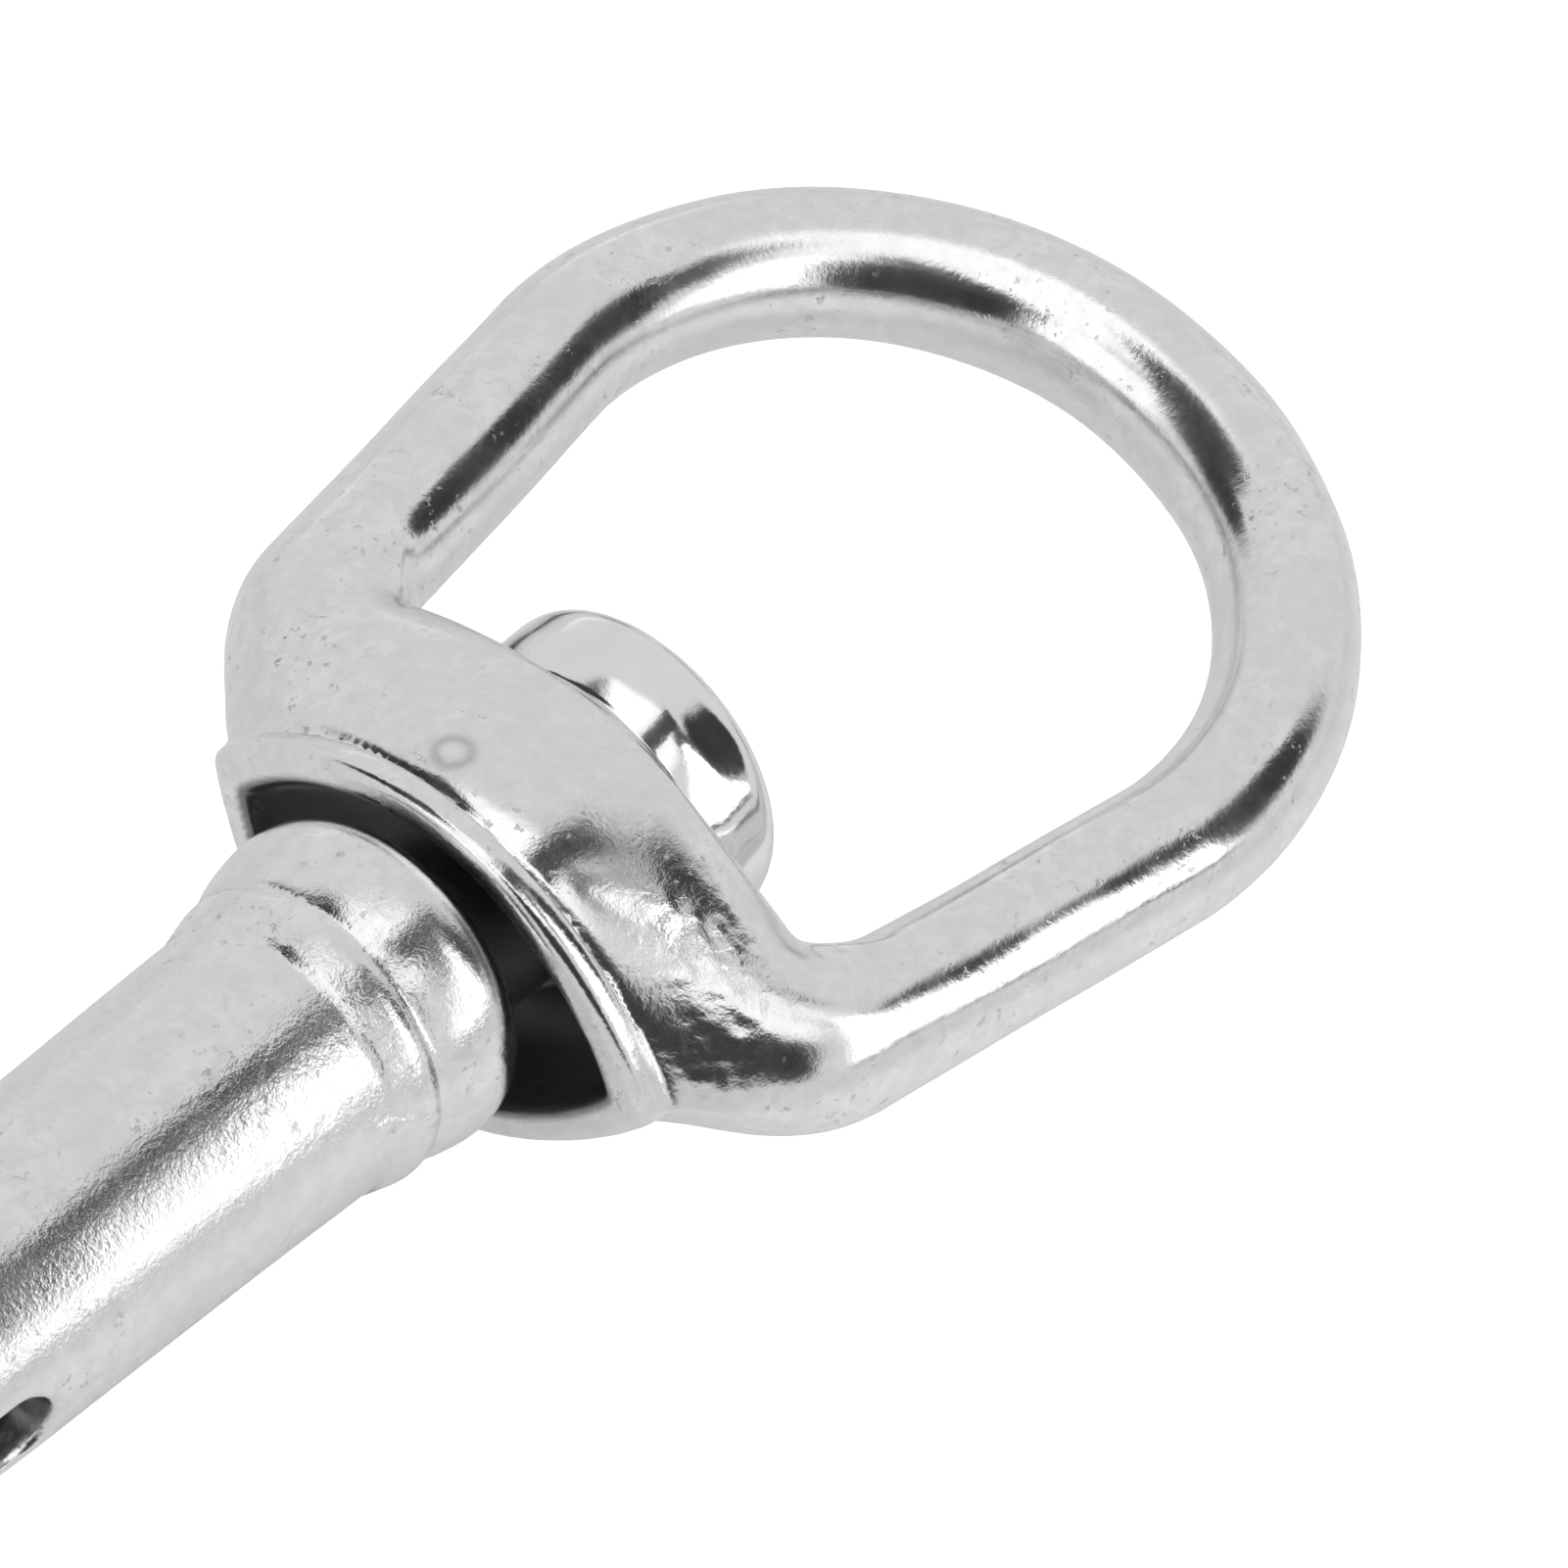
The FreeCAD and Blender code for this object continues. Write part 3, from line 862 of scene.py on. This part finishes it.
def plated_casting():
    """Bright plate over a polished casting, pitted and orange-peeled where it was not buffed."""
    n = Nodes("plated_casting")
    rough_patch = n.near(*ROUGH_SPOTS[0])
    for spot in ROUGH_SPOTS[1:]:
        rough_patch = n.math("MAXIMUM", rough_patch, n.near(*spot))
    blotches = n.noise(0.28, 3.0, 0.55, 4.0)
    mottle = n.noise(1.7, 4.0, 0.65, 21.0, 0.4)
    grain = n.noise(5.5, 3.0, 0.65, 1.0)
    peel = n.noise(1.15, 2.0, 0.5, 9.0)
    waves = n.noise(0.32, 1.0, 0.5, 17.0)
    dots = n.ramp(n.noise(2.2, 3.0, 0.7, 51.0), 0.6, 0.68)
    specks = n.math("MULTIPLY", dots, n.ramp(blotches, 0.45, 0.55))

    patches = n.ramp(mottle, 0.3, 0.7)
    shade = n.math("MULTIPLY", patches, n.ramp(blotches, 0.35, 0.6, 0.5, 1.0))
    colour = n.mix_colour(shade, DULL_PLATE, PALE_PLATE)
    colour = n.mix_colour(n.math("MULTIPLY", specks, 0.45), colour, SPECK_COLOUR)
    # Painted shade darkens the colour in the dish's hollow and on the collar's top under the dish;
    # the gate mark's ring is darkened as tarnish.
    painted_shade_and_tarnish = n.add("ShaderNodeAttribute", attribute_name="painted_shade_and_tarnish").outputs["Fac"]
    colour = n.mix_colour(painted_shade_and_tarnish, colour, PAINTED_SHADE_AND_TARNISH_COLOUR)
    n.link(colour, n.shader.inputs["Base Color"])
    n.shader.inputs["Metallic"].default_value = 1.0

    roughness = n.plus(n.ramp(blotches, 0.42, 0.62, 0.14, 0.07), grain, 0.1)
    roughness = n.plus(roughness, specks, 0.2)
    roughness = n.plus(roughness, painted_shade_and_tarnish, 0.25, clamp=True)
    n.link(roughness, n.shader.inputs["Roughness"])

    normal = n.bump(waves, 0.04)
    normal = n.bump(peel, 0.006, normal)
    barrel_side = n.near(*COARSE_BARREL)
    coarseness = n.plus(n.math("MULTIPLY", rough_patch, 1.6), barrel_side, 2.6)
    fine = n.math("MULTIPLY", grain, n.math("ADD", coarseness, 1.0))
    fine = n.math("SUBTRACT", fine, n.math("MULTIPLY", specks, 0.6))
    normal = n.bump(fine, 0.0055, normal)
    crinkle = n.math("MULTIPLY", n.noise(1.9, 2.0, 0.5, 71.0, 0.8), rough_patch)
    normal = n.bump(crinkle, 0.02, normal)
    n.link(normal, n.shader.inputs["Normal"])
    return n.material


def plated_turned(name, colour, roughness, peel_depth, seed):
    """Bar or rivet stock, smoother than the castings, with a faint haze and nicks."""
    n = Nodes(name)
    haze = n.noise(0.6, 3.0, 0.55, seed)
    grain = n.noise(6.0, 2.0, 0.5, seed + 5)
    nicks = n.math("MULTIPLY", n.pits(0.8, 0.05, 0.1, seed), n.ramp(haze, 0.55, 0.62))

    paler = tuple(min(1, c * 1.12) for c in colour)
    mixed = n.mix_colour(haze, colour, paler)
    nicked = n.mix_colour(n.math("MULTIPLY", nicks, 0.5), mixed, NICK_COLOUR)
    n.link(nicked, n.shader.inputs["Base Color"])
    n.shader.inputs["Metallic"].default_value = 1.0

    rough = n.plus(n.ramp(haze, 0.35, 0.7, roughness, roughness + 0.06), grain, 0.05)
    n.link(n.plus(rough, nicks, 0.2, clamp=True), n.shader.inputs["Roughness"])

    normal = n.bump(n.noise(0.5, 1.0, 0.5, seed + 9), peel_depth)
    nicked_grain = n.math("SUBTRACT", grain, n.math("MULTIPLY", nicks, 2.0))
    normal = n.bump(nicked_grain, 0.0025, normal)
    n.link(normal, n.shader.inputs["Normal"])
    return n.material


casting_material = plated_casting()
rivet_material = plated_turned("plated_rivet", BRIGHT_PLATE, 0.07, 0.05, 41.0)
turned_material = plated_turned("plated_turned", BRIGHT_PLATE, 0.09, 0.02, 61.0)
spring_material = plated_turned("spring_steel", SPRING_STEEL, 0.2, 0.01, 83.0)

# Each piece: object, CAD node, body it rides on, slot, material.
PIECES = [
    (eye, "swivel_eye", "eye", "plated_casting", casting_material),
    (body, "hook_body", "hook", "plated_casting", casting_material),
    (rivet, "swivel_rivet", "hook", "plated_rivet", rivet_material),
    (bolt, "bolt", "gate_bolt", "plated_turned", turned_material),
    (knob, "thumb_knob", "gate_bolt", "plated_turned", turned_material),
    (spring, "bolt_spring", "hook", "spring_steel", spring_material),
]
for piece, node, rides_on, slot_name, material in PIECES:
    piece.data.materials.append(material)
    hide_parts(node)
    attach(piece, rides_on)
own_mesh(spring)


# ------------------------------------------------------------------ floor
# Sizes in metres. The paper glows faintly for reflections and more for the camera.
FLOOR_HALF_SIZE = 3.0
FLOOR_Z = -0.0150  # clear of the eye at every turn of the swivel
FLOOR_SHADE = 0.92
FLOOR_GLOW = 0.06
FLOOR_LIFT = 0.7


def make_floor():
    mesh = bpy.data.meshes.new("floor")
    s = FLOOR_HALF_SIZE
    corners = [(x, y, FLOOR_Z) for x, y in ((-s, -s), (s, -s), (s, s), (-s, s))]
    mesh.from_pydata(corners, [], [(0, 1, 2, 3)])
    floor = bpy.data.objects.new("floor", mesh)
    bpy.context.scene.collection.objects.link(floor)
    material = bpy.data.materials.new("floor_paper")
    material.use_nodes = True
    tree = material.node_tree
    tree.nodes.clear()
    output = tree.nodes.new("ShaderNodeOutputMaterial")
    diffuse = tree.nodes.new("ShaderNodeBsdfDiffuse")
    diffuse.inputs["Color"].default_value = (FLOOR_SHADE, FLOOR_SHADE, FLOOR_SHADE, 1)
    lift = tree.nodes.new("ShaderNodeEmission")
    seen = tree.nodes.new("ShaderNodeLightPath")
    strength = tree.nodes.new("ShaderNodeMath")
    strength.operation = "MULTIPLY_ADD"
    strength.inputs[1].default_value = FLOOR_LIFT
    strength.inputs[2].default_value = FLOOR_GLOW
    both = tree.nodes.new("ShaderNodeAddShader")
    tree.links.new(seen.outputs["Is Camera Ray"], strength.inputs[0])
    tree.links.new(strength.outputs["Value"], lift.inputs["Strength"])
    tree.links.new(diffuse.outputs["BSDF"], both.inputs[0])
    tree.links.new(lift.outputs["Emission"], both.inputs[1])
    tree.links.new(both.outputs["Shader"], output.inputs["Surface"])
    mesh.materials.append(material)


make_floor()


# ------------------------------------------------------------------ studio light
STUDIO_LEVEL = 0.93
PATCH_SQUARENESS = 3.5  # 2 gives an ellipse, more a squarer outline
# Each patch: azimuth, elevation, half width, half height and tilt in degrees, level, and softness
# as a share of its size.
PATCHES = [
    (-150, 70, 31, 31, 0, 1.5, 0.12),
    (150, 66, 24, 20, 0, 1.5, 0.15),
    (166, 23, 22, 17, 0, 1.5, 0.1),
    (-138, 24, 27, 26, 0, 0.05, 0.1),
    (-43, 33, 18, 19, 0, 0.05, 0.15),
    (-63, 50, 9, 15, 0, 0.14, 0.3),
    (125, 40, 15, 27, 12, 0.05, 0.12),
    (116, 19, 15, 12, 0, 0.04, 0.12),
    (50, -5, 9, 8, 0, 1.4, 0.4),
]


def direction(azimuth, elevation):
    """Unit vector towards an azimuth and an elevation in degrees."""
    a, e = math.radians(azimuth), math.radians(elevation)
    return Vector((math.cos(e) * math.cos(a), math.cos(e) * math.sin(a), math.sin(e)))


def make_world():
    """Even pale studio with the patches laid over it in turn, plain white to the camera."""
    world = bpy.data.worlds.new("studio")
    bpy.context.scene.world = world
    world.use_nodes = True
    tree = world.node_tree
    tree.nodes.clear()
    output = tree.nodes.new("ShaderNodeOutputWorld")
    background = tree.nodes.new("ShaderNodeBackground")
    coordinates = tree.nodes.new("ShaderNodeTexCoord")
    look = coordinates.outputs["Generated"]

    def maths(operation, a, b):
        node = tree.nodes.new("ShaderNodeMath")
        node.operation = operation
        for value, socket in ((a, node.inputs[0]), (b, node.inputs[1])):
            if isinstance(value, (int, float)):
                socket.default_value = value
            else:
                tree.links.new(value, socket)
        return node.outputs["Value"]

    def along(axis, size):
        node = tree.nodes.new("ShaderNodeVectorMath")
        node.operation = "DOT_PRODUCT"
        tree.links.new(look, node.inputs[0])
        node.inputs[1].default_value = axis / size
        return node.outputs["Value"]

    level = STUDIO_LEVEL
    for azimuth, elevation, width, height, tilt, value, softness in PATCHES:
        centre = direction(azimuth, elevation)
        right = Vector((-math.sin(math.radians(azimuth)), math.cos(math.radians(azimuth)), 0))
        turned = Matrix.Rotation(math.radians(tilt), 3, centre)
        right = turned @ right
        up = centre.cross(right)
        u = along(right, math.sin(math.radians(width)))
        v = along(up, math.sin(math.radians(height)))
        across, upward = (
            maths("POWER", maths("ABSOLUTE", side, 0), PATCH_SQUARENESS) for side in (u, v)
        )
        reach = maths("POWER", maths("ADD", across, upward), 1 / PATCH_SQUARENESS)
        mask = tree.nodes.new("ShaderNodeMapRange")
        mask.interpolation_type = "SMOOTHSTEP"
        tree.links.new(reach, mask.inputs["Value"])
        mask.inputs["From Min"].default_value = 1 - softness
        mask.inputs["From Max"].default_value = 1 + softness
        mask.inputs["To Min"].default_value = 1
        mask.inputs["To Max"].default_value = 0
        facing = maths("GREATER_THAN", along(centre, 1.0), 0)
        share = maths("MULTIPLY", mask.outputs["Result"], facing)
        change = maths("SUBTRACT", value, level)
        level = maths("ADD", level, maths("MULTIPLY", share, change))
    seen = tree.nodes.new("ShaderNodeLightPath").outputs["Is Camera Ray"]
    level = maths("ADD", level, maths("MULTIPLY", seen, maths("SUBTRACT", 1.0, level)))
    tree.links.new(level, background.inputs["Strength"])
    tree.links.new(background.outputs["Background"], output.inputs["Surface"])


make_world()


def make_card(name, corners, level):
    """Flat reflector close to the object, hidden from the camera. Only a bright one lights it."""
    mesh = bpy.data.meshes.new(name)
    mesh.from_pydata([[c * MM for c in corner] for corner in corners], [], [range(len(corners))])
    card = bpy.data.objects.new(name, mesh)
    bpy.context.scene.collection.objects.link(card)
    material = bpy.data.materials.new(name)
    material.use_nodes = True
    tree = material.node_tree
    tree.nodes.clear()
    output = tree.nodes.new("ShaderNodeOutputMaterial")
    glow = tree.nodes.new("ShaderNodeEmission")
    glow.inputs["Strength"].default_value = level
    tree.links.new(glow.outputs["Emission"], output.inputs["Surface"])
    mesh.materials.append(material)
    card.visible_camera = False
    card.visible_diffuse = level > 1
    card.visible_shadow = False


# Each card: name, corners in row-frame millimetres, level.
CARDS = [
    ("white_card", [(-28, -66, 9), (25, -66, 12), (-6, -30, 49), (-15, -30, 49)], 1.6),
    ("card_foot", [(-28, -67, 6), (25, -67, 8), (25, -66, 12), (-28, -66, 9)], 0.03),
    (
        "dark_card",
        [(-39, -6, 30), (-10, -5, 30), (-10, -13, 30), (-21, -12, 30), (-39, -15, 30)],
        0.07,
    ),
]
for card_name, corners, level in CARDS:
    make_card(card_name, corners, level)


# ------------------------------------------------------------------ camera
# Places and distances in metres, angles in degrees, lens and sensor in millimetres.
CAMERA_TARGET = Vector((-0.017903, -0.003037, 0.0))
CAMERA_AZIMUTH = -152.53
CAMERA_ELEVATION = 50.74
CAMERA_DISTANCE = 0.34192
CAMERA_ROLL = 17.47
CAMERA_LENS = 271.27
SENSOR_WIDTH = 36.0


def make_camera():
    data = bpy.data.cameras.new("camera")
    data.lens = CAMERA_LENS
    data.sensor_width = SENSOR_WIDTH
    data.clip_start = 0.01
    data.clip_end = 50.0
    back = direction(CAMERA_AZIMUTH, CAMERA_ELEVATION)
    right = Vector((0, 0, 1)).cross(back).normalized()
    up = back.cross(right)
    turn = math.radians(CAMERA_ROLL)
    rolled_right = right * math.cos(turn) + up * math.sin(turn)
    rolled_up = up * math.cos(turn) - right * math.sin(turn)
    matrix = Matrix((rolled_right, rolled_up, back)).transposed().to_4x4()
    matrix.translation = CAMERA_TARGET + back * CAMERA_DISTANCE
    camera = bpy.data.objects.new("camera", data)
    camera.matrix_world = matrix
    bpy.context.scene.collection.objects.link(camera)
    bpy.context.scene.camera = camera


make_camera()
bpy.context.scene.view_settings.view_transform = "Standard"
bpy.context.scene.view_settings.look = "None"
